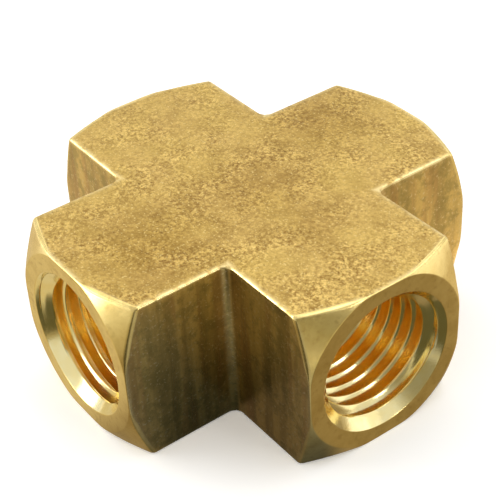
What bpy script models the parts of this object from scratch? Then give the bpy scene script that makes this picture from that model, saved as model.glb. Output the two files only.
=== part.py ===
"""Female pipe cross: one piece of machined brass with four 1/4-18 NPT ports.

The body is cut from extruded cross-shaped bar, so its arms have a square section and its
inner corners a small die radius. Each end is faced and turned with a 30 degree chamfer,
then drilled, countersunk and tapped. Metres, +Z along the extrusion, origin where the
axes of the four ports meet.
"""

import math

import bmesh
import bpy
from mathutils import Matrix

MM = 0.001
INCH = 0.0254

# Body
ARM_WIDTH = 17.0 * MM
BODY_HEIGHT = 16.9 * MM
CENTRE_TO_END = 19.6 * MM
NOTCH_RADIUS = 0.9 * MM
NOTCH_STEPS = 5

# Turned ends. The circle is wider than the arm, so the chamfer leaves an arched edge on
# each side of the arm and takes most from its corners.
END_CIRCLE_RADIUS = 8.75 * MM
END_CHAMFER_ANGLE = math.radians(30)
END_STEPS = 48

# Thread, 1/4-18 NPT. Radii are at the end face; crests and roots follow the 1:16 taper.
PITCH = INCH / 18
RADIUS_TAPER = 1 / 32
PITCH_RADIUS = 12.487 / 2 * MM
ROOT_RADIUS = PITCH_RADIUS + 0.4 * PITCH
CREST_RADIUS = 5.75 * MM
ROOT_FLAT = 0.05 * PITCH
FLANK_ANGLE = math.radians(30)
FULL_THREAD_DEPTH = 9.5 * MM
RUN_OUT_TURNS = 2
THREAD_STEPS = 24

# Drilled passage and the countersink at each mouth
DRILL_RADIUS = 5.45 * MM
MOUTH_RADIUS = 7.05 * MM
COUNTERSINK_ANGLE = math.radians(45)
COUNTERSINK_STEPS = 40

# How far a cutter stands past the surface it cuts
CLEARANCE = 0.5 * MM
SAME_POINT = 0.001 * MM
SMOOTH_BELOW = math.radians(25)

ARM_ANGLES = [math.radians(90 * i) for i in range(4)]


def clear_scene():
    for obj in list(bpy.data.objects):
        bpy.data.objects.remove(obj)


def brass():
    material = bpy.data.materials.new("brass")
    material.use_nodes = True
    shader = material.node_tree.nodes["Principled BSDF"]
    shader.inputs["Base Color"].default_value = (0.60, 0.39, 0.13, 1)
    shader.inputs["Metallic"].default_value = 1.0
    shader.inputs["Roughness"].default_value = 0.33
    return material


def new_object(name, bm):
    bmesh.ops.recalc_face_normals(bm, faces=bm.faces)
    mesh = bpy.data.meshes.new(name)
    bm.to_mesh(mesh)
    bm.free()
    obj = bpy.data.objects.new(name, mesh)
    bpy.context.scene.collection.objects.link(obj)
    return obj


def cross_outline():
    """Corners of the bar's section, one arm end and one rounded notch at a time."""
    half = ARM_WIDTH / 2
    arc_centre = half + NOTCH_RADIUS
    quarter = [(CENTRE_TO_END, -half), (CENTRE_TO_END, half)]
    for i in range(NOTCH_STEPS + 1):
        angle = math.radians(270 - 90 * i / NOTCH_STEPS)
        x = arc_centre + NOTCH_RADIUS * math.cos(angle)
        y = arc_centre + NOTCH_RADIUS * math.sin(angle)
        quarter.append((x, y))
    points = []
    for turn in ARM_ANGLES:
        c, s = math.cos(turn), math.sin(turn)
        points += [(c * x - s * y, s * x + c * y) for x, y in quarter]
    return points


def extruded_bar():
    bm = bmesh.new()
    corners = [bm.verts.new((x, y, -BODY_HEIGHT / 2)) for x, y in cross_outline()]
    base = bm.faces.new(corners)
    grown = bmesh.ops.extrude_face_region(bm, geom=[base])["geom"]
    top = [item for item in grown if isinstance(item, bmesh.types.BMVert)]
    bmesh.ops.translate(bm, verts=top, vec=(0, 0, BODY_HEIGHT))
    return new_object("cross_body", bm)


def four_arms(bm):
    """Repeats what is modelled round the +X arm on the other three arms."""
    shape = list(bm.verts) + list(bm.edges) + list(bm.faces)
    for turn in ARM_ANGLES[1:]:
        copied = bmesh.ops.duplicate(bm, geom=shape)["geom"]
        verts = [item for item in copied if isinstance(item, bmesh.types.BMVert)]
        bmesh.ops.rotate(bm, verts=verts, cent=(0, 0, 0), matrix=Matrix.Rotation(turn, 3, "Z"))


def end_chamfer_cutter():
    """Rings of triangular section that turn the corners off the four ends."""
    slope = math.tan(END_CHAMFER_ANGLE)
    outer = math.hypot(ARM_WIDTH, BODY_HEIGHT) / 2 + CLEARANCE
    past_end = CENTRE_TO_END + CLEARANCE
    section = [
        (CENTRE_TO_END - (outer - END_CIRCLE_RADIUS) * slope, outer),
        (past_end, END_CIRCLE_RADIUS - CLEARANCE / slope),
        (past_end, outer),
    ]
    bm = bmesh.new()
    verts = [bm.verts.new((x, 0, r)) for x, r in section]
    edges = [bm.edges.new((verts[i], verts[i - 1])) for i in range(3)]
    bmesh.ops.spin(
        bm,
        geom=verts + edges,
        cent=(0, 0, 0),
        axis=(1, 0, 0),
        angle=math.radians(360),
        steps=END_STEPS,
        use_merge=True,
    )
    four_arms(bm)
    return new_object("end_chamfer_cutter", bm)


def countersink_cutter():
    tip_radius = DRILL_RADIUS - CLEARANCE
    open_radius = MOUTH_RADIUS + CLEARANCE * math.tan(COUNTERSINK_ANGLE)
    length = (open_radius - tip_radius) / math.tan(COUNTERSINK_ANGLE)
    bm = bmesh.new()
    bmesh.ops.create_cone(
        bm,
        cap_ends=True,
        segments=COUNTERSINK_STEPS,
        radius1=tip_radius,
        radius2=open_radius,
        depth=length,
    )
    middle = CENTRE_TO_END + CLEARANCE - length / 2
    along_x = Matrix.Rotation(math.radians(90), 4, "Y")
    bmesh.ops.transform(bm, verts=bm.verts, matrix=Matrix.Translation((middle, 0, 0)) @ along_x)
    four_arms(bm)
    return new_object("countersink_cutter", bm)


def thread_turns():
    """Number of turns of groove, and the place along the arm where the first one starts."""
    start = CENTRE_TO_END - FULL_THREAD_DEPTH - RUN_OUT_TURNS * PITCH
    past_end = CENTRE_TO_END + CLEARANCE + PITCH
    turns = math.ceil((past_end - start) / PITCH)
    return turns, start


def crest_radius(x):
    """Wall of the hole: reamed to the thread's taper, then straight where it is only drilled."""
    return max(DRILL_RADIUS, CREST_RADIUS - RADIUS_TAPER * (CENTRE_TO_END - x))


def groove_depth(x, turns, start):
    """Depth of the groove below the hole's wall. It starts from nothing at either end."""
    root = ROOT_RADIUS - RADIUS_TAPER * (CENTRE_TO_END - x)
    turns_in = (x - start) / PITCH
    fade = min(1, turns_in / RUN_OUT_TURNS, turns - turns_in)
    return max(0, fade) * (root - crest_radius(x))


def groove_points(turn, turns, start):
    """The groove's section at one place: wall, root flat, wall, as (x, radius)."""
    x = start + turn * PITCH
    depth = groove_depth(x, turns, start)
    if depth < SAME_POINT:
        return [(x, crest_radius(x))] * 4
    flat = ROOT_FLAT / 2
    reach = flat + depth * math.tan(FLANK_ANGLE)
    root = crest_radius(x) + depth
    inner, outer = x - reach, x + reach
    return [(inner, crest_radius(inner)), (x - flat, root), (x + flat, root), (outer, crest_radius(outer))]


def port_columns(bm):
    """Rows of points along the tapped hole, one row for each step round its axis."""
    turns, start = thread_turns()
    inner = start - PITCH
    outer = start + (turns + 1) * PITCH
    columns = []
    for step in range(THREAD_STEPS):
        part_turn = step / THREAD_STEPS
        grooves = range(turns + 1) if step == 0 else range(turns)
        section = [(inner, DRILL_RADIUS)]
        for groove in grooves:
            section += groove_points(groove + part_turn, turns, start)
        section.append((outer, crest_radius(outer)))
        angle = 2 * math.pi * part_turn
        c, s = math.cos(angle), math.sin(angle)
        columns.append([bm.verts.new((x, r * c, r * s)) for x, r in section])
    return columns


def join_columns(bm, near, far, shift):
    """Quads between neighbouring rows. shift is 4 where a groove meets its next turn."""
    if shift:
        bm.faces.new([near[0], near[1], far[5], far[4], far[1], far[0]])
        pairs = range(1, len(near) - 1)
    else:
        bm.faces.new([near[0], near[1], far[1], far[0]])
        pairs = range(1, len(far) - 2)
    for i in pairs:
        bm.faces.new([near[i], near[i + 1], far[i + 1 + shift], far[i + shift]])
    if not shift:
        rest = near[len(far) - 2:]
        bm.faces.new(rest + [far[-1], far[-2]])


def port(bm):
    """The wall of one tapped hole, closed past the arm's end and open towards the centre."""
    columns = port_columns(bm)
    for step in range(THREAD_STEPS - 1):
        join_columns(bm, columns[step], columns[step + 1], 0)
    join_columns(bm, columns[-1], columns[0], 4)
    bm.faces.new([column[-1] for column in columns])
    bmesh.ops.remove_doubles(bm, verts=bm.verts, dist=SAME_POINT)


def tapped_passage_cutter():
    """Two opposite tapped holes with the drilled passage between them."""
    bm = bmesh.new()
    port(bm)
    shape = list(bm.verts) + list(bm.edges) + list(bm.faces)
    copied = bmesh.ops.duplicate(bm, geom=shape)["geom"]
    verts = [item for item in copied if isinstance(item, bmesh.types.BMVert)]
    bmesh.ops.rotate(bm, verts=verts, cent=(0, 0, 0), matrix=Matrix.Rotation(math.pi, 3, "Z"))
    rims = [edge for edge in bm.edges if edge.is_boundary]
    bmesh.ops.bridge_loops(bm, edges=rims)
    return new_object("tapped_passage_cutter", bm)


def cut(body, cutter):
    cutter.hide_render = True
    cutter.display_type = "WIRE"
    modifier = body.modifiers.new(cutter.name, "BOOLEAN")
    modifier.operation = "DIFFERENCE"
    modifier.solver = "EXACT"
    modifier.object = cutter


def finish_body(body):
    """Fixes the cuts into the mesh, so that its own edges decide what is shaded smooth."""
    graph = bpy.context.evaluated_depsgraph_get()
    body.data = bpy.data.meshes.new_from_object(body.evaluated_get(graph))
    body.modifiers.clear()
    bm = bmesh.new()
    bm.from_mesh(body.data)
    bmesh.ops.remove_doubles(bm, verts=bm.verts, dist=SAME_POINT)
    bmesh.ops.dissolve_degenerate(bm, edges=bm.edges, dist=SAME_POINT)
    bm.to_mesh(body.data)
    bm.free()
    body.data.shade_smooth()
    body.data.set_sharp_from_angle(angle=SMOOTH_BELOW)
    body.data.materials.clear()
    body.data.materials.append(brass())


def build():
    clear_scene()
    body = extruded_bar()
    passage_x = tapped_passage_cutter()
    # The crossing passage is turned half a step about its own axis, so that no edge of
    # one passage lies along an edge of the other.
    half_step = math.pi / THREAD_STEPS
    passage_y = passage_x.copy()
    passage_y.rotation_euler = (half_step, 0, math.radians(90))
    bpy.context.scene.collection.objects.link(passage_y)
    for cutter in (end_chamfer_cutter(), passage_x, passage_y, countersink_cutter()):
        cut(body, cutter)
    finish_body(body)


build()
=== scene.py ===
"""Looks of the brass pipe cross: its visible surface, materials, light and camera."""

import math

import bmesh
import bpy
from mathutils import Matrix, Vector


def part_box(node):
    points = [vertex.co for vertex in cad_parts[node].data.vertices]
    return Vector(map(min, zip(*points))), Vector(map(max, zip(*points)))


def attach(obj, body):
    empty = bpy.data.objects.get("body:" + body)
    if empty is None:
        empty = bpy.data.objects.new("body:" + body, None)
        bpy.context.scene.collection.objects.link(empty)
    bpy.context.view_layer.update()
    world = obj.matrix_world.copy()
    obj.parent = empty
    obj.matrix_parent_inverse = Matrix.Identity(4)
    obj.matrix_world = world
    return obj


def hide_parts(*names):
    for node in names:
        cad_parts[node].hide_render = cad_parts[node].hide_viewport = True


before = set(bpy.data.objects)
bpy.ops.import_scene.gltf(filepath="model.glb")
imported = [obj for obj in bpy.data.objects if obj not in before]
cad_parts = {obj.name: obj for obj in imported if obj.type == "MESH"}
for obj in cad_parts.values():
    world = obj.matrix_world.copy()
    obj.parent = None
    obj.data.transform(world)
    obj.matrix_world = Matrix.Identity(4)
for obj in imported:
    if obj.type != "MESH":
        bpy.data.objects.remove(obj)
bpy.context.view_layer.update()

MM = 0.001
NODE = "cross_body"
low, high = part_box(NODE)

# The body, in millimetres and radians
END = high.x / MM
HALF_HEIGHT = high.z / MM
HALF_WIDTH = 8.5
NOTCH_RADIUS = 0.9
NOTCH_END = HALF_WIDTH + NOTCH_RADIUS
NOTCH_MIDDLE = NOTCH_END - NOTCH_RADIUS * math.sqrt(0.5)
END_CIRCLE = 8.75
MOUTH = 7.05
END_CHAMFER = math.radians(30)
COUNTERSINK = math.radians(45)

# Edges broken by tumbling, as radii in millimetres
LONG_EDGE = 0.26
ARCH_EDGE = 0.60
RIM_EDGE = 0.30
MOUTH_EDGE = 0.12
# A rounded edge takes at most this share of the stretches beside it
LARGEST_SHARE = 0.45
# The chamfer's width where it is narrowest, and how softly its rim leaves the full circle there
LEAST_CHAMFER = 0.04
RIM_BLEND = 0.20
# The flat's last point lies this far before the arch
ARCH_LEAD = 0.05
# Where the countersink leaves its rounded mouth
MOUTH_X = END - MOUTH_EDGE * math.tan(COUNTERSINK / 2) * math.cos(COUNTERSINK)

# The 1/4-18 NPT thread, in millimetres. Radii are at the end face.
PITCH = 25.4 / 18
TAPER = 1 / 32
ROOT_AT_FACE = 12.487 / 2 + 0.4 * PITCH
CREST_AT_FACE = 5.75
FLANK = math.tan(math.radians(30))
ROOT_FLAT = 0.07
DRILL = 5.45
FULL_THREAD = 9.5
RUN_OUT_TURNS = 2
THREAD_START = END - FULL_THREAD - RUN_OUT_TURNS * PITCH
BORE_END = THREAD_START - 0.3
# A groove keeps a trace of depth, so that all its points stay apart
LEAST_DEPTH = 0.002
# Softness of the groove's edges, and the largest share of its depth that it may take
CREST_EDGE = 0.06
CREST_EDGE_SHARE = 0.3

# Mesh density: numbers of steps, and where the stretches between rounded edges are divided
FLAT_STEPS = 28
CORNER_STEPS = 4
NOTCH_STEPS = 5
ARM_STEPS = 8
EDGE_STEPS = 5
BORE_STEPS = 6
CHAMFER_PLACES = (0.1, 0.35, 0.65, 0.9)
FACE_PLACES = (0.1, 0.5, 0.9)
# Points this close are one, and edges this short go, in millimetres
SAME_POINT = 0.002
SLIVER = 0.001
# Only edges sharper than this are shaded as edges
SHARP_FROM = math.radians(60)

SKIN, TURNED, THREAD = range(3)


# ---------------------------------------------------------------- the body's surface

def notch_widening(x):
    """How far the arm's sides have spread at x where they run into the notch's radius."""
    x = min(max(x, NOTCH_MIDDLE), NOTCH_END)
    return (NOTCH_END - math.sqrt(NOTCH_RADIUS ** 2 - (NOTCH_END - x) ** 2)) / HALF_WIDTH


def section_quarter():
    """A quarter of the arm's section: half a side, a rounded corner, half the top."""
    inner_y, inner_z = HALF_WIDTH - LONG_EDGE, HALF_HEIGHT - LONG_EDGE
    side_end = math.atan2(inner_z, HALF_WIDTH)
    top_start = math.atan2(HALF_HEIGHT, inner_y)
    half = FLAT_STEPS // 2
    points = [(HALF_WIDTH, HALF_WIDTH * math.tan(side_end * i / half)) for i in range(half)]
    for i in range(CORNER_STEPS + 1):
        angle = math.radians(90 * i / CORNER_STEPS)
        points.append((inner_y + LONG_EDGE * math.cos(angle), inner_z + LONG_EDGE * math.sin(angle)))
    for i in range(1, half):
        angle = top_start + (math.pi / 2 - top_start) * i / half
        points.append((HALF_HEIGHT / math.tan(angle), HALF_HEIGHT))
    return points


def section():
    """Points round the arm's section, the same on all four sides of both middle planes."""
    quarter = section_quarter()
    top = [(0.0, HALF_HEIGHT)]
    left = [(-y, z) for y, z in reversed(quarter[1:])]
    upper = quarter + top + left
    lower = [(-y, -z) for y, z in upper]
    return upper + lower


def rounded(before, corner, after, radius):
    """Points of an arc that replaces the corner between two straight stretches."""
    a = Vector(before) - Vector(corner)
    b = Vector(after) - Vector(corner)
    turn = math.pi - a.angle(b)
    reach = min(radius * math.tan(turn / 2), LARGEST_SHARE * a.length, LARGEST_SHARE * b.length)
    radius = reach / math.tan(turn / 2)
    start = Vector(corner) + a.normalized() * reach
    to_centre = (a.normalized() + b.normalized()).normalized() * (radius / math.cos(turn / 2))
    centre = Vector(corner) + to_centre
    arm = start - centre
    side = 1 if a.x * b.y - a.y * b.x > 0 else -1
    points = []
    for i in range(EDGE_STEPS + 1):
        angle = -side * turn * i / EDGE_STEPS
        c, s = math.cos(angle), math.sin(angle)
        points.append((centre.x + c * arm.x - s * arm.y, centre.y + s * arm.x + c * arm.y))
    return points


def blend(a, b, t):
    return a + (b - a) * t


def soft_least(a, b, blend_width):
    """The smaller of two values, with a smooth change from one to the other."""
    return (a + b - math.hypot(a - b, blend_width)) / 2


def flat_places(y, last):
    """Places along the arm's flat sides, from the plane shared with the next arm to the arch."""
    first = abs(y) * notch_widening(0)
    places = []
    for i in range(NOTCH_STEPS):
        angle = math.radians(45 + 45 * i / NOTCH_STEPS)
        x = NOTCH_END - NOTCH_RADIUS * math.cos(angle)
        places.append(blend(first, NOTCH_END, (x - NOTCH_MIDDLE) / (NOTCH_END - NOTCH_MIDDLE)))
    places += [blend(NOTCH_END, last, i / ARM_STEPS) for i in range(ARM_STEPS + 1)]
    return places


def outer_profile(y, z):
    """From the plane shared with the next arm, along the flat, over the chamfer to the mouth."""
    reach = math.hypot(y, z)
    rim = soft_least(END_CIRCLE, reach - LEAST_CHAMFER, RIM_BLEND)
    chamfer_start = END - (reach - rim) * math.tan(END_CHAMFER)
    arch = rounded((0, reach), (chamfer_start, reach), (END, rim), ARCH_EDGE)
    end_rim = rounded((chamfer_start, reach), (END, rim), (END, MOUTH), RIM_EDGE)
    mouth = rounded((END, rim), (END, MOUTH), (END - 1, MOUTH - math.tan(COUNTERSINK)), MOUTH_EDGE)

    flat = flat_places(y, arch[0][0] - ARCH_LEAD)
    (arch_x, arch_r), (rim_x, rim_r) = arch[-1], end_rim[0]
    chamfer = [(blend(arch_x, rim_x, t), blend(arch_r, rim_r, t)) for t in CHAMFER_PLACES]
    face = [(END, blend(end_rim[-1][1], mouth[0][1], t)) for t in FACE_PLACES]
    turned = arch + chamfer + end_rim + face + mouth

    points = [(x, y * notch_widening(x), z) for x in flat]
    points += [(x, y * r / reach, z * r / reach) for x, r in turned]
    zones = [SKIN] * len(flat) + [TURNED] * len(turned)
    return points, zones


def cone_radius(x):
    """Radius of the countersink."""
    return MOUTH - (END - x) * math.tan(COUNTERSINK)


def crest_radius(x):
    """The hole is reamed to the thread's taper, down to the straight drilled part."""
    return max(DRILL, CREST_AT_FACE - TAPER * (END - x))


def groove_section(x):
    """Places across one groove of the thread, as (x, radius), with softened edges."""
    root = ROOT_AT_FACE - TAPER * (END - x)
    fade = min(1, max(0, (x - THREAD_START) / (RUN_OUT_TURNS * PITCH)))
    depth = max(LEAST_DEPTH, fade * (root - crest_radius(x)))
    flat = ROOT_FLAT / 2
    reach = flat + depth * FLANK
    soft = min(CREST_EDGE, CREST_EDGE_SHARE * depth)
    half = [
        (reach + 0.6 * soft, 0),
        (reach + 0.1 * soft, 0.25 * soft),
        (reach - 0.6 * soft, 1.0 * soft),
        (blend(flat, reach, 0.66), 0.34 * depth),
        (blend(flat, reach, 0.33), 0.67 * depth),
        (flat + 0.5 * soft, depth - 0.9 * soft),
        (0.7 * flat, depth - 0.2 * soft),
    ]
    across = [(x - dx, dr) for dx, dr in half] + [(x + dx, dr) for dx, dr in reversed(half)]
    return [(place, crest_radius(place) + dr) for place, dr in across]


GROOVE_POINTS = len(groove_section(END))


def inner_profile(turn_share, cos_turn):
    """From the crossing of the bores, along the drilled wall and the thread to the mouth."""
    first = DRILL * abs(cos_turn)
    bore = [(blend(first, BORE_END, i / BORE_STEPS), DRILL) for i in range(BORE_STEPS)]
    grooves = math.ceil((MOUTH_X - BORE_END) / PITCH) + 3
    points = []
    for groove in range(grooves):
        x_groove = THREAD_START + (groove + turn_share - 1) * PITCH
        for x, r in groove_section(x_groove):
            if x < BORE_END:
                x, r = BORE_END, DRILL
            x = min(x, MOUTH_X)
            points.append((x, max(r, cone_radius(x))))
    points.append((MOUTH_X, cone_radius(MOUTH_X)))
    return bore, points


def grid_faces(rows, shift, faces, zones, zone_of):
    """Quads between neighbouring columns of vertex numbers; the last column meets the first."""
    for k, near in enumerate(rows):
        far = rows[(k + 1) % len(rows)]
        step = shift if k == len(rows) - 1 else 0
        for i in range(-step, len(near) - 1):
            a, b = near[max(i, 0)], near[max(i + 1, 0)]
            c, d = far[min(i + 1 + step, len(far) - 1)], far[min(i + step, len(far) - 1)]
            quad = []
            for v in (a, b, c, d):
                if v not in quad:
                    quad.append(v)
            if len(quad) > 2:
                faces.append(quad)
                zones.append(zone_of(max(i, 0)))


def arm_surface():
    """Vertices, faces and zones of the arm that points along +X."""
    verts, faces, zones = [], [], []

    def column(points):
        verts.extend(points)
        return list(range(len(verts) - len(points), len(verts)))

    outside, bore, thread = [], [], []
    for y, z in section():
        points, outer_zones = outer_profile(y, z)
        outside.append(column(points))
        turn = math.atan2(z, y) % (2 * math.pi)
        c, s = math.cos(turn), math.sin(turn)
        plain, threaded = inner_profile(turn / (2 * math.pi), c)
        plain.append(threaded[0])
        bore.append(column([(x, r * c, r * s) for x, r in plain]))
        thread.append(column([(x, r * c, r * s) for x, r in threaded]))
    grid_faces(outside, 0, faces, zones, lambda i: outer_zones[i])
    grid_faces(bore, 0, faces, zones, lambda i: THREAD)
    grid_faces(thread, GROOVE_POINTS, faces, zones, lambda i: THREAD)
    return verts, faces, zones


def body_surface():
    """All four arms, joined where they meet into one closed surface."""
    arm_verts, arm_faces, arm_zones = arm_surface()
    mesh = bpy.data.meshes.new("cross_surface")
    verts, faces = [], []
    for c, s in ((1, 0), (0, 1), (-1, 0), (0, -1)):
        first = len(verts)
        verts += [((c * x - s * y) * MM, (s * x + c * y) * MM, z * MM) for x, y, z in arm_verts]
        faces += [[first + v for v in face] for face in arm_faces]
    mesh.from_pydata(verts, [], faces)
    mesh.polygons.foreach_set("material_index", arm_zones * 4)
    bm = bmesh.new()
    bm.from_mesh(mesh)
    bmesh.ops.remove_doubles(bm, verts=bm.verts, dist=SAME_POINT * MM)
    bmesh.ops.dissolve_degenerate(bm, edges=bm.edges, dist=SLIVER * MM)
    bmesh.ops.recalc_face_normals(bm, faces=bm.faces)
    bm.to_mesh(mesh)
    bm.free()
    mesh.shade_smooth()
    mesh.set_sharp_from_angle(angle=SHARP_FROM)
    return mesh


# ---------------------------------------------------------------- node trees

class Nodes:
    """Shorthand for building a node tree. Inputs may be values or other nodes' outputs."""

    def __init__(self, owner):
        owner.use_nodes = True
        self.tree = owner.node_tree

    def put(self, socket, value):
        if isinstance(value, bpy.types.NodeSocket):
            self.tree.links.new(value, socket)
        else:
            socket.default_value = value

    def node(self, kind, inputs, **settings):
        node = self.tree.nodes.new(kind)
        for key, value in settings.items():
            setattr(node, key, value)
        for key, value in inputs.items():
            self.put(node.inputs[key], value)
        return node

    def math(self, operation, *values):
        inputs = dict(enumerate(values))
        return self.node("ShaderNodeMath", inputs, operation=operation).outputs[0]

    def vector(self, operation, *values):
        """A vector made from vectors."""
        inputs = dict(enumerate(values))
        return self.node("ShaderNodeVectorMath", inputs, operation=operation).outputs["Vector"]

    def measure(self, operation, *values):
        """A number made from vectors, such as their dot product or distance."""
        inputs = dict(enumerate(values))
        return self.node("ShaderNodeVectorMath", inputs, operation=operation).outputs["Value"]

    def steps(self, value, low, high):
        """0 below low, 1 above high, smooth between."""
        inputs = {"Value": value, "From Min": low, "From Max": high}
        return self.node("ShaderNodeMapRange", inputs, interpolation_type="SMOOTHSTEP").outputs[0]

    def between(self, value, low, high):
        """Maps 0..1 to low..high."""
        inputs = {"Value": value, "To Min": low, "To Max": high}
        return self.node("ShaderNodeMapRange", inputs).outputs[0]

    def noise(self, place, scale, detail, roughness):
        inputs = {"Vector": place, "Scale": scale, "Detail": detail, "Roughness": roughness}
        return self.node("ShaderNodeTexNoise", inputs).outputs[0]

    def mix(self, share, first, second, blend_type="MIX"):
        """Blends the second value into the first one. Either may be a colour or a number."""
        node = self.node("ShaderNodeMix", {0: share}, data_type="RGBA", blend_type=blend_type)
        # The colours are its inputs 6 and 7 and its output 2
        for socket, value in ((node.inputs[6], first), (node.inputs[7], second)):
            if isinstance(value, tuple):
                value = (*value, 1)
            self.put(socket, value)
        return node.outputs[2]

    def stain(self, color, pattern, edges, share, stain_color):
        """Lays a stain on a colour where the pattern passes from the first edge to the second."""
        return self.mix(self.math("MULTIPLY", self.steps(pattern, *edges), share), color, stain_color)

    def bump(self, height, strength, distance):
        inputs = {"Height": height, "Strength": strength, "Distance": distance}
        return self.node("ShaderNodeBump", inputs).outputs[0]


# ---------------------------------------------------------------- materials

# A noise pattern is its scale per millimetre, detail and roughness. A stain is the pattern's values
# where it begins and where it is full, its share and its colour. A relief is its strength, and its
# height in metres.

# Sawn faces, top and bottom: two colours of grain, which is crisper in some places than in others
GRAIN_NOISE = (3.0, 3.0, 0.7)
GRAIN_EDGES = (0.34, 0.66)
SAWN_DARK = (0.30, 0.165, 0.036)
SAWN_LIGHT = (0.86, 0.61, 0.19)
SAWN_ROUGHNESS = (0.32, 0.52)
CRISP_NOISE = (0.22, 2.0, 0.5)
CRISP_EDGES = (0.38, 0.62)
CRISP_RANGE = (0.35, 1.15)
BLOTCH_NOISE = (0.45, 4.0, 0.65)
BLOTCH = ((0.40, 0.65), 0.55, (0.40, 0.25, 0.06))
TONE_NOISE = (0.16, 2.0, 0.5)
TONE = ((0.35, 0.65), 0.25, (0.70, 0.50, 0.12))
SPECK_NOISE = (3.4, 1.0, 0.5)
SPECK_EDGES = (0.38, 0.22)
SPECK_SHARE = 0.7
SPECK = (0.18, 0.10, 0.02)
GLINT_NOISE = (4.6, 1.0, 0.5)
GLINT = ((0.60, 0.74), 0.5, (0.95, 0.76, 0.32))
# Brown stains on the top, uneven with its blotches: x, y, radius and share, in millimetres
BROWN_STAINS = ((2, -12, 11, 0.9), (-4, 12, 9, 0.9), (1, 1, 9, 0.7), (9, 1, 5, 0.5))
BROWN_RANGE = (0.5, 1.5)
BROWN = (0.72, 0.66, 0.55)

# Drawn sides: two colours of streaks. Streaks and rust are drawn out along the bar.
DIE_LINES = (1.0, 1.0, 0.08)
STREAK_NOISE = (0.9, 3.0, 0.45)
STREAK_EDGES = (0.36, 0.62)
DRAWN_DARK = (0.55, 0.405, 0.145)
DRAWN_LIGHT = (0.81, 0.595, 0.21)
DRAWN_ROUGHNESS = (0.22, 0.38)
TARNISH_NOISE = (0.75, 4.0, 0.65)
TARNISH = ((0.44, 0.62), 0.6, (0.38, 0.30, 0.10))
RUST_OFFSET = (3.1, 5.7, 0)
RUST_NOISE = (0.8, 2.0, 0.5)
RUST = ((0.50, 0.66), 0.40, (0.58, 0.33, 0.13))
FLECK_NOISE = (3.6, 2.0, 0.6)
BRIGHT_FLECK = ((0.58, 0.70), 0.6, (0.92, 0.76, 0.42))
DARK_FLECK = ((0.40, 0.28), 0.25, (0.22, 0.16, 0.06))

# How upright the skin's normal is where it turns from drawn to sawn, and the skin's relief
SAWN_EDGES = (0.5, 0.85)
SKIN_RELIEF = (0.55, 0.06 * MM)
FLECK_HEIGHT = 0.2

# Edges worn bright and smooth here and there, with a painted highlight along them, and how far the
# wear and highlight reach in millimetres
WORN_HIGHLIGHT_WIDTH = 0.35
WORN_HIGHLIGHT_NOISE = (0.9, 2.0, 0.5)
WORN_HIGHLIGHT_EDGES = (0.25, 0.6)
WORN_AND_HIGHLIGHT_COLOR = (0.95, 0.76, 0.36)
WORN_SMOOTHING = 0.12

# Turned ends
TURNED_NOISE = (0.5, 3.0, 0.6)
TURNED_EDGES = (0.35, 0.75)
TURNED_LIGHT = (0.93, 0.73, 0.29)
TURNED_DARK = (0.80, 0.60, 0.21)
SPOT_NOISE = (1.6, 2.0, 0.5)
SPOT = ((0.55, 0.75), 0.35, (0.58, 0.38, 0.11))
TURNED_GLOSS_NOISE = (3.0, 2.0, 0.5)
TURNED_ROUGHNESS = (0.16, 0.30)
RING_NOISE = (6.0, 2.0, 0.6)
RING_RELIEF = (0.04, 0.01 * MM)

# Cut threads
THREAD_NOISE = (0.6, 2.0, 0.6)
THREAD_EDGES = (0.3, 0.7)
THREAD_LIGHT = (0.96, 0.845, 0.46)
THREAD_DARK = (0.95, 0.79, 0.37)
THREAD_GLOSS_NOISE = (2.0, 2.0, 0.5)
THREAD_ROUGHNESS = (0.08, 0.22)
TEAR_NOISE = (5.0, 2.0, 0.5)
TEAR_RELIEF = (0.15, 0.03 * MM)


def brass(name):
    """A new metal material, and the nodes to build it with."""
    material = bpy.data.materials.new(name)
    n = Nodes(material)
    n.tree.nodes["Principled BSDF"].inputs["Metallic"].default_value = 1.0
    return material, n


def set_surface(n, color, roughness, normal):
    shader = n.tree.nodes["Principled BSDF"]
    n.put(shader.inputs["Base Color"], color)
    n.put(shader.inputs["Roughness"], roughness)
    n.put(shader.inputs["Normal"], normal)


class ArmPlace:
    """Where a shaded point is on its arm, in millimetres: along and across the arm, and its height."""

    def __init__(self, n):
        place = n.node("ShaderNodeTexCoord", {}).outputs["Object"]
        self.place = n.vector("MULTIPLY", place, (1 / MM, 1 / MM, 1 / MM))
        split = n.node("ShaderNodeSeparateXYZ", {0: self.place})
        x, y, z = (n.math("ABSOLUTE", split.outputs[i]) for i in range(3))
        self.along = n.math("MAXIMUM", x, y)
        self.across = n.math("MINIMUM", x, y)
        self.height = z
        self.radius = diagonal(n, self.across, z)


def diagonal(n, a, b):
    """Length of the diagonal of two numbers."""
    return n.math("SQRT", n.math("ADD", n.math("MULTIPLY", a, a), n.math("MULTIPLY", b, b)))


def edge_falloff(n, distance, width):
    """1 on an edge, falling off over width on both sides."""
    share = n.math("DIVIDE", distance, width)
    return n.math("EXPONENT", n.math("MULTIPLY", n.math("MULTIPLY", share, share), -1.0))


def edge_wear_and_highlight(n, at):
    """1 along the outer edges of the arms, worn here and there: real wear and a painted edge
    highlight.
    """
    side = n.math("SUBTRACT", HALF_WIDTH, at.across)
    top = n.math("SUBTRACT", HALF_HEIGHT, at.height)
    past_circle = n.math("MAXIMUM", n.math("SUBTRACT", at.radius, END_CIRCLE), 0.0)
    chamfer_length = n.math("MULTIPLY", past_circle, math.tan(END_CHAMFER))
    arch = n.math("ABSOLUTE", n.math("SUBTRACT", n.math("SUBTRACT", END, chamfer_length), at.along))
    edge = edge_falloff(n, n.math("MINIMUM", diagonal(n, side, top), arch), WORN_HIGHLIGHT_WIDTH)
    return n.math("MULTIPLY", edge, n.steps(n.noise(at.place, *WORN_HIGHLIGHT_NOISE), *WORN_HIGHLIGHT_EDGES))


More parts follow.
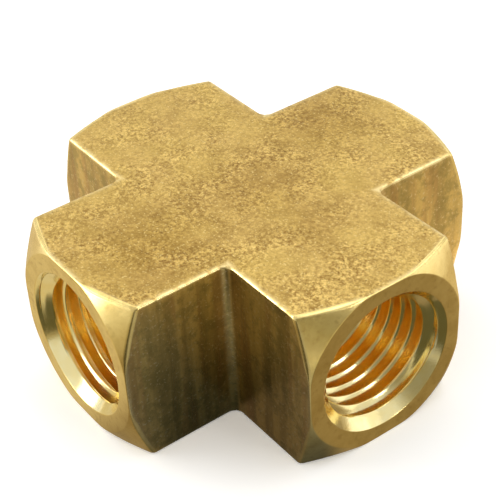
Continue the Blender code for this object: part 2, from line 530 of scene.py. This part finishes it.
def sawn_color(n, at, grain):
    """Mottled tan grain, blotches, brown stains, dark specks and bright glints."""
    blotch = n.noise(at.place, *BLOTCH_NOISE)
    crisp = n.between(n.steps(n.noise(at.place, *CRISP_NOISE), *CRISP_EDGES), *CRISP_RANGE)
    contrast = n.math("ADD", n.math("MULTIPLY", n.math("SUBTRACT", grain, 0.5), crisp), 0.5)
    color = n.mix(n.steps(contrast, *GRAIN_EDGES), SAWN_DARK, SAWN_LIGHT)
    color = n.stain(color, blotch, *BLOTCH)
    color = n.stain(color, n.noise(at.place, *TONE_NOISE), *TONE)
    uneven = n.between(blotch, *BROWN_RANGE)
    for x, y, radius, share in BROWN_STAINS:
        distance = n.measure("DISTANCE", at.place, (x, y, HALF_HEIGHT))
        stain = n.math("MULTIPLY", n.steps(distance, radius, 0), uneven)
        color = n.mix(n.math("MULTIPLY", stain, share), color, BROWN, "MULTIPLY")
    speck = n.math("MULTIPLY", n.steps(n.noise(at.place, *SPECK_NOISE), *SPECK_EDGES), crisp)
    color = n.mix(n.math("MULTIPLY", speck, SPECK_SHARE), color, SPECK)
    return n.stain(color, n.noise(at.place, *GLINT_NOISE), *GLINT)


def drawn_color(n, at, stretched, streak, fleck):
    """Die lines along the bar, with tarnish, rusty patches and flecks."""
    color = n.mix(n.steps(streak, *STREAK_EDGES), DRAWN_DARK, DRAWN_LIGHT)
    color = n.stain(color, n.noise(at.place, *TARNISH_NOISE), *TARNISH)
    rust = n.noise(n.vector("ADD", stretched, RUST_OFFSET), *RUST_NOISE)
    color = n.stain(color, rust, *RUST)
    color = n.stain(color, fleck, *BRIGHT_FLECK)
    return n.stain(color, fleck, *DARK_FLECK)


def skin_material():
    """Top and sides of the bar: mottled grain on the sawn faces and die lines on the drawn ones."""
    material, n = brass("brass_skin")
    at = ArmPlace(n)
    normal = n.node("ShaderNodeNewGeometry", {}).outputs["Normal"]
    upright = n.math("ABSOLUTE", n.node("ShaderNodeSeparateXYZ", {0: normal}).outputs[2])
    sawn = n.steps(upright, *SAWN_EDGES)

    grain = n.noise(at.place, *GRAIN_NOISE)
    stretched = n.vector("MULTIPLY", at.place, DIE_LINES)
    streak = n.noise(stretched, *STREAK_NOISE)
    fleck = n.noise(at.place, *FLECK_NOISE)
    color = n.mix(sawn, drawn_color(n, at, stretched, streak, fleck), sawn_color(n, at, grain))
    wear_and_highlight = edge_wear_and_highlight(n, at)
    # Worn brass and a painted highlight brighten the outer edges
    color = n.mix(wear_and_highlight, color, WORN_AND_HIGHLIGHT_COLOR)
    rough = n.mix(sawn, n.between(streak, *DRAWN_ROUGHNESS), n.between(grain, *SAWN_ROUGHNESS))
    rough = n.math("SUBTRACT", rough, n.math("MULTIPLY", wear_and_highlight, WORN_SMOOTHING))
    relief = n.mix(sawn, n.math("ADD", streak, n.math("MULTIPLY", fleck, FLECK_HEIGHT)), grain)
    set_surface(n, color, rough, n.bump(relief, *SKIN_RELIEF))
    return material


def turned_material():
    """Chamfers, end faces and countersinks: fresh brass with the fine rings of a turning tool."""
    material, n = brass("brass_turned")
    at = ArmPlace(n)
    radius_and_x = n.node("ShaderNodeCombineXYZ", {0: at.radius, 1: at.along}).outputs[0]
    rings = n.noise(radius_and_x, *RING_NOISE)
    tone = n.steps(n.noise(at.place, *TURNED_NOISE), *TURNED_EDGES)
    color = n.mix(tone, TURNED_LIGHT, TURNED_DARK)
    color = n.stain(color, n.noise(at.place, *SPOT_NOISE), *SPOT)
    rough = n.between(n.noise(at.place, *TURNED_GLOSS_NOISE), *TURNED_ROUGHNESS)
    set_surface(n, color, rough, n.bump(rings, *RING_RELIEF))
    return material


def thread_material():
    """Threads and bores: bright cut brass."""
    material, n = brass("brass_thread")
    at = ArmPlace(n)
    tone = n.steps(n.noise(at.place, *THREAD_NOISE), *THREAD_EDGES)
    color = n.mix(tone, THREAD_LIGHT, THREAD_DARK)
    rough = n.between(n.noise(at.place, *THREAD_GLOSS_NOISE), *THREAD_ROUGHNESS)
    set_surface(n, color, rough, n.bump(n.noise(at.place, *TEAR_NOISE), *TEAR_RELIEF))
    return material


# ---------------------------------------------------------------- the floor

def way(azimuth):
    """The level direction at an azimuth in degrees."""
    turn = math.radians(azimuth)
    return (math.cos(turn), math.sin(turn), 0)


def cone(outer, inner):
    """The cosines between which a zone fades in, from its outer and inner half-angles in degrees."""
    return (math.cos(math.radians(outer)), math.cos(math.radians(inner)))


VIEW_AZIMUTH = -34.86
VIEW_ELEVATION = 37.17

# The floor is plain white paper to the camera. What the brass mirrors of it is painted light and
# shade, glowing with colours set apart by where on the floor a mirrored ray lands: its azimuth seen
# from the object, and its distance in metres.
FLOOR_SIDE = 6.0
PAPER = (0.93, 0.93, 0.93, 1)
PAPER_GLOW = 0.20

# Painted light and shade near the object: warm, brightest at its foot and behind it, darker towards
# the camera, with a painted glow in front of the left port. Far from it: bright, but dim towards the
# camera.
TOWARDS_CAMERA = way(VIEW_AZIMUTH)
BRIGHT_FROM = (0.050, 0.110)
FOOT_FADE = (0.021, 0.034)
FLOOR_FOOT = (1.25, 1.00, 0.70)
FLOOR_BEHIND = (0.70, 0.59, 0.41)
BESIDE_EDGE = cone(90, 58)
FLOOR_BESIDE = (0.30, 0.235, 0.14)
LEFT_WAY = way(-118)
LEFT_EDGE = cone(42, 18)
FLOOR_LEFT = (0.68, 0.58, 0.38)
FLOOR_FAR = (1.25, 1.2, 1.15)
FAR_FRONT_EDGE = cone(80, 38)
FAR_FRONT = (0.42, 0.37, 0.22)

# Painted shade: rays that leave the object towards the camera find the near floor shaded
SHADED_HEADING = cone(50, 32)
SHADED_FADE = (0.080, 0.050)
SHADED = (0.11, 0.10, 0.05)

# A painted shadow in the inner corner that faces the camera: a wedge, dark near the object and grey
# farther out.
# Rays that head back to the left see a lighter near part. A paler stretch of painted light lies in the
# wedge.
WEDGE_WAY = way(-40)
WEDGE_EDGE = cone(29, 20)
WEDGE_FADE = (0.016, 0.036)
WEDGE_NEAR = (0.036, 0.039, 0.034)
WEDGE_FAR = (0.46, 0.45, 0.42)
HOMEWARD = way(-145)
HOMEWARD_EDGE = cone(60, 30)
PALE_NEAR = (0.10, 0.078, 0.055)
PALE_WAY = way(-55)
PALE_EDGE = cone(15, 8)
PALE_FADE = (0.0265, 0.0292)
PALE_FAR = (0.78, 0.76, 0.80)
PALE_END = (0.09, 0.08, 0.05)

# A round pool of painted light in front of the right port: centre, and its edge from outside to inside
PATCH_PLACE = (0.077, -0.009, 0)
PATCH_EDGE = (0.032, 0.016)
FLOOR_PATCH = (0.80, 0.74, 0.55)


def floor_around(n, outward, away):
    """Painted light and shade on the floor on all sides of the object."""
    facing = n.measure("DOT_PRODUCT", outward, TOWARDS_CAMERA)
    leftward = n.measure("DOT_PRODUCT", outward, LEFT_WAY)
    behind = n.mix(n.steps(away, *FOOT_FADE), FLOOR_FOOT, FLOOR_BEHIND)
    close = n.mix(n.steps(facing, *BESIDE_EDGE), behind, FLOOR_BESIDE)
    close = n.mix(n.steps(leftward, *LEFT_EDGE), close, FLOOR_LEFT)
    far = n.mix(n.steps(facing, *FAR_FRONT_EDGE), FLOOR_FAR, FAR_FRONT)
    return n.mix(n.steps(away, *BRIGHT_FROM), close, far)


def floor_wedge(n, outward, away, ray):
    """The painted shadow on the floor in the inner corner that faces the camera."""
    homewards = n.measure("DOT_PRODUCT", ray, HOMEWARD)
    palewards = n.measure("DOT_PRODUCT", outward, PALE_WAY)
    close = n.mix(n.steps(homewards, *HOMEWARD_EDGE), WEDGE_NEAR, PALE_NEAR)
    pale = n.mix(n.steps(away, *PALE_FADE), PALE_FAR, PALE_END)
    far = n.mix(n.steps(palewards, *PALE_EDGE), WEDGE_FAR, pale)
    return n.mix(n.steps(away, *WEDGE_FADE), close, far)


def mirrored_floor(n):
    """The painted light and shade that the brass mirrors, put together from the zones."""
    place = n.node("ShaderNodeTexCoord", {}).outputs["Object"]
    place = n.vector("MULTIPLY", place, (1, 1, 0))
    outward = n.vector("NORMALIZE", place)
    away = n.measure("LENGTH", place)
    ray = n.node("ShaderNodeNewGeometry", {}).outputs["Incoming"]
    ray = n.vector("NORMALIZE", n.vector("MULTIPLY", ray, (-1, -1, 0)))

    heading = n.steps(n.measure("DOT_PRODUCT", ray, TOWARDS_CAMERA), *SHADED_HEADING)
    shaded = n.math("MULTIPLY", heading, n.steps(away, *SHADED_FADE))
    around = n.mix(shaded, floor_around(n, outward, away), SHADED)
    in_wedge = n.steps(n.measure("DOT_PRODUCT", outward, WEDGE_WAY), *WEDGE_EDGE)
    mirrored = n.mix(in_wedge, around, floor_wedge(n, outward, away, ray))
    in_patch = n.steps(n.measure("DISTANCE", place, PATCH_PLACE), *PATCH_EDGE)
    return n.mix(in_patch, mirrored, FLOOR_PATCH)


def floor_material():
    material = bpy.data.materials.new("floor_paper")
    n = Nodes(material)
    paper = n.tree.nodes["Principled BSDF"]
    paper.inputs["Base Color"].default_value = PAPER
    paper.inputs["Roughness"].default_value = 1.0
    paper.inputs["Specular IOR Level"].default_value = 0.0
    paper.inputs["Emission Color"].default_value = (1, 1, 1, 1)
    paper.inputs["Emission Strength"].default_value = PAPER_GLOW
    # The brass mirrors a floor that glows with this painted light and shade, not the lit paper
    mirrored = n.node("ShaderNodeEmission", {"Color": mirrored_floor(n)}).outputs[0]
    by_camera = n.node("ShaderNodeLightPath", {}).outputs["Is Camera Ray"]
    both = n.node("ShaderNodeMixShader", {0: by_camera, 1: mirrored, 2: paper.outputs[0]})
    n.put(n.tree.nodes["Material Output"].inputs["Surface"], both.outputs[0])
    return material


def floor():
    half = FLOOR_SIDE / 2
    corners = [(-half, -half), (half, -half), (half, half), (-half, half)]
    mesh = bpy.data.meshes.new("floor")
    mesh.from_pydata([(x, y, low.z) for x, y in corners], [], [(0, 1, 2, 3)])
    mesh.materials.append(floor_material())
    obj = bpy.data.objects.new("floor", mesh)
    bpy.context.scene.collection.objects.link(obj)


# ---------------------------------------------------------------- light and camera

ROOM = (0.80, 0.80, 0.80)
ROOM_DIM = (0.29, 0.27, 0.20)
DIM_AZIMUTH = math.radians(-24)
DIM_ELEVATION = math.radians(8)
DIM_EDGE = cone(50, 18)

# Soft boxes: name, direction from the object, distance, width and height in metres, radiance
SOFT_BOXES = (
    ("overhead", (-0.50, 0.38, 0.80), 0.40, (0.35, 0.35), 0.48),
    ("overhead_right", (0.22, 0.45, 0.87), 0.6, (0.45, 0.45), 1.3),
    ("overhead_left", (-0.65, -0.25, 0.71), 0.6, (0.3, 0.2), 1.2),
    ("right", (0.42, 0.90, 0.10), 0.6, (0.5, 0.3), 0.45),
    ("right_high", (0.48, 0.72, 0.50), 0.6, (0.35, 0.3), 0.3),
    ("left", (-0.65, -0.60, 0.45), 0.6, (0.4, 0.4), 2.6),
    ("front_left", (-0.47, -0.87, 0.13), 0.6, (0.3, 0.2), 4.0),
    ("front_right", (0.90, 0.24, 0.36), 0.6, (0.11, 0.11), 8.0),
)

VIEW_ROLL = math.radians(-3.35)
VIEW_DISTANCE = 3.362 * (high.x - low.x)
VIEW_AIM = Vector((-0.38, 0.20, 0.56)) * MM
LENS = 99.2
SENSOR = 36
NEAREST = 0.01
FARTHEST = 10
BOUNCES = 16


def direction_to(azimuth, elevation):
    """The unit vector at an azimuth and elevation in radians."""
    level = math.cos(elevation)
    return (level * math.cos(azimuth), level * math.sin(azimuth), math.sin(elevation))


def soft_box(name, direction, distance, size, radiance):
    """A rectangular light that faces the object."""
    light = bpy.data.lights.new(name, "AREA")
    light.shape = "RECTANGLE"
    light.size, light.size_y = size
    light.energy = radiance * math.pi * size[0] * size[1]
    obj = bpy.data.objects.new(name, light)
    obj.location = Vector(direction).normalized() * distance
    obj.rotation_euler = Vector(direction).to_track_quat("Z", "Y").to_euler()
    bpy.context.scene.collection.objects.link(obj)


def studio():
    """An even white room, dimmer low down behind the camera, with eight soft boxes."""
    world = bpy.data.worlds.new("studio")
    n = Nodes(world)
    direction = n.node("ShaderNodeTexCoord", {}).outputs["Generated"]
    facing = n.measure("DOT_PRODUCT", direction, direction_to(DIM_AZIMUTH, DIM_ELEVATION))
    color = n.mix(n.steps(facing, *DIM_EDGE), ROOM, ROOM_DIM)
    n.put(n.tree.nodes["Background"].inputs["Color"], color)
    bpy.context.scene.world = world
    for box in SOFT_BOXES:
        soft_box(*box)


def camera():
    data = bpy.data.cameras.new("camera")
    data.lens = LENS
    data.sensor_width = SENSOR
    data.clip_start = NEAREST
    data.clip_end = FARTHEST
    obj = bpy.data.objects.new("camera", data)
    back = Vector(direction_to(math.radians(VIEW_AZIMUTH), math.radians(VIEW_ELEVATION)))
    upright = (-back).to_track_quat("-Z", "Y").to_matrix()
    obj.location = VIEW_AIM + back * VIEW_DISTANCE
    obj.rotation_euler = (upright @ Matrix.Rotation(VIEW_ROLL, 3, "Z")).to_euler()
    bpy.context.scene.collection.objects.link(obj)
    bpy.context.scene.camera = obj


body = bpy.data.objects.new("cross_surface", body_surface())
bpy.context.scene.collection.objects.link(body)
for material in (skin_material(), turned_material(), thread_material()):
    body.data.materials.append(material)
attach(body, "root")
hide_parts(NODE)
floor()
studio()
camera()
bpy.context.scene.view_settings.view_transform = "Standard"
bpy.context.scene.cycles.max_bounces = BOUNCES
bpy.context.scene.cycles.glossy_bounces = BOUNCES
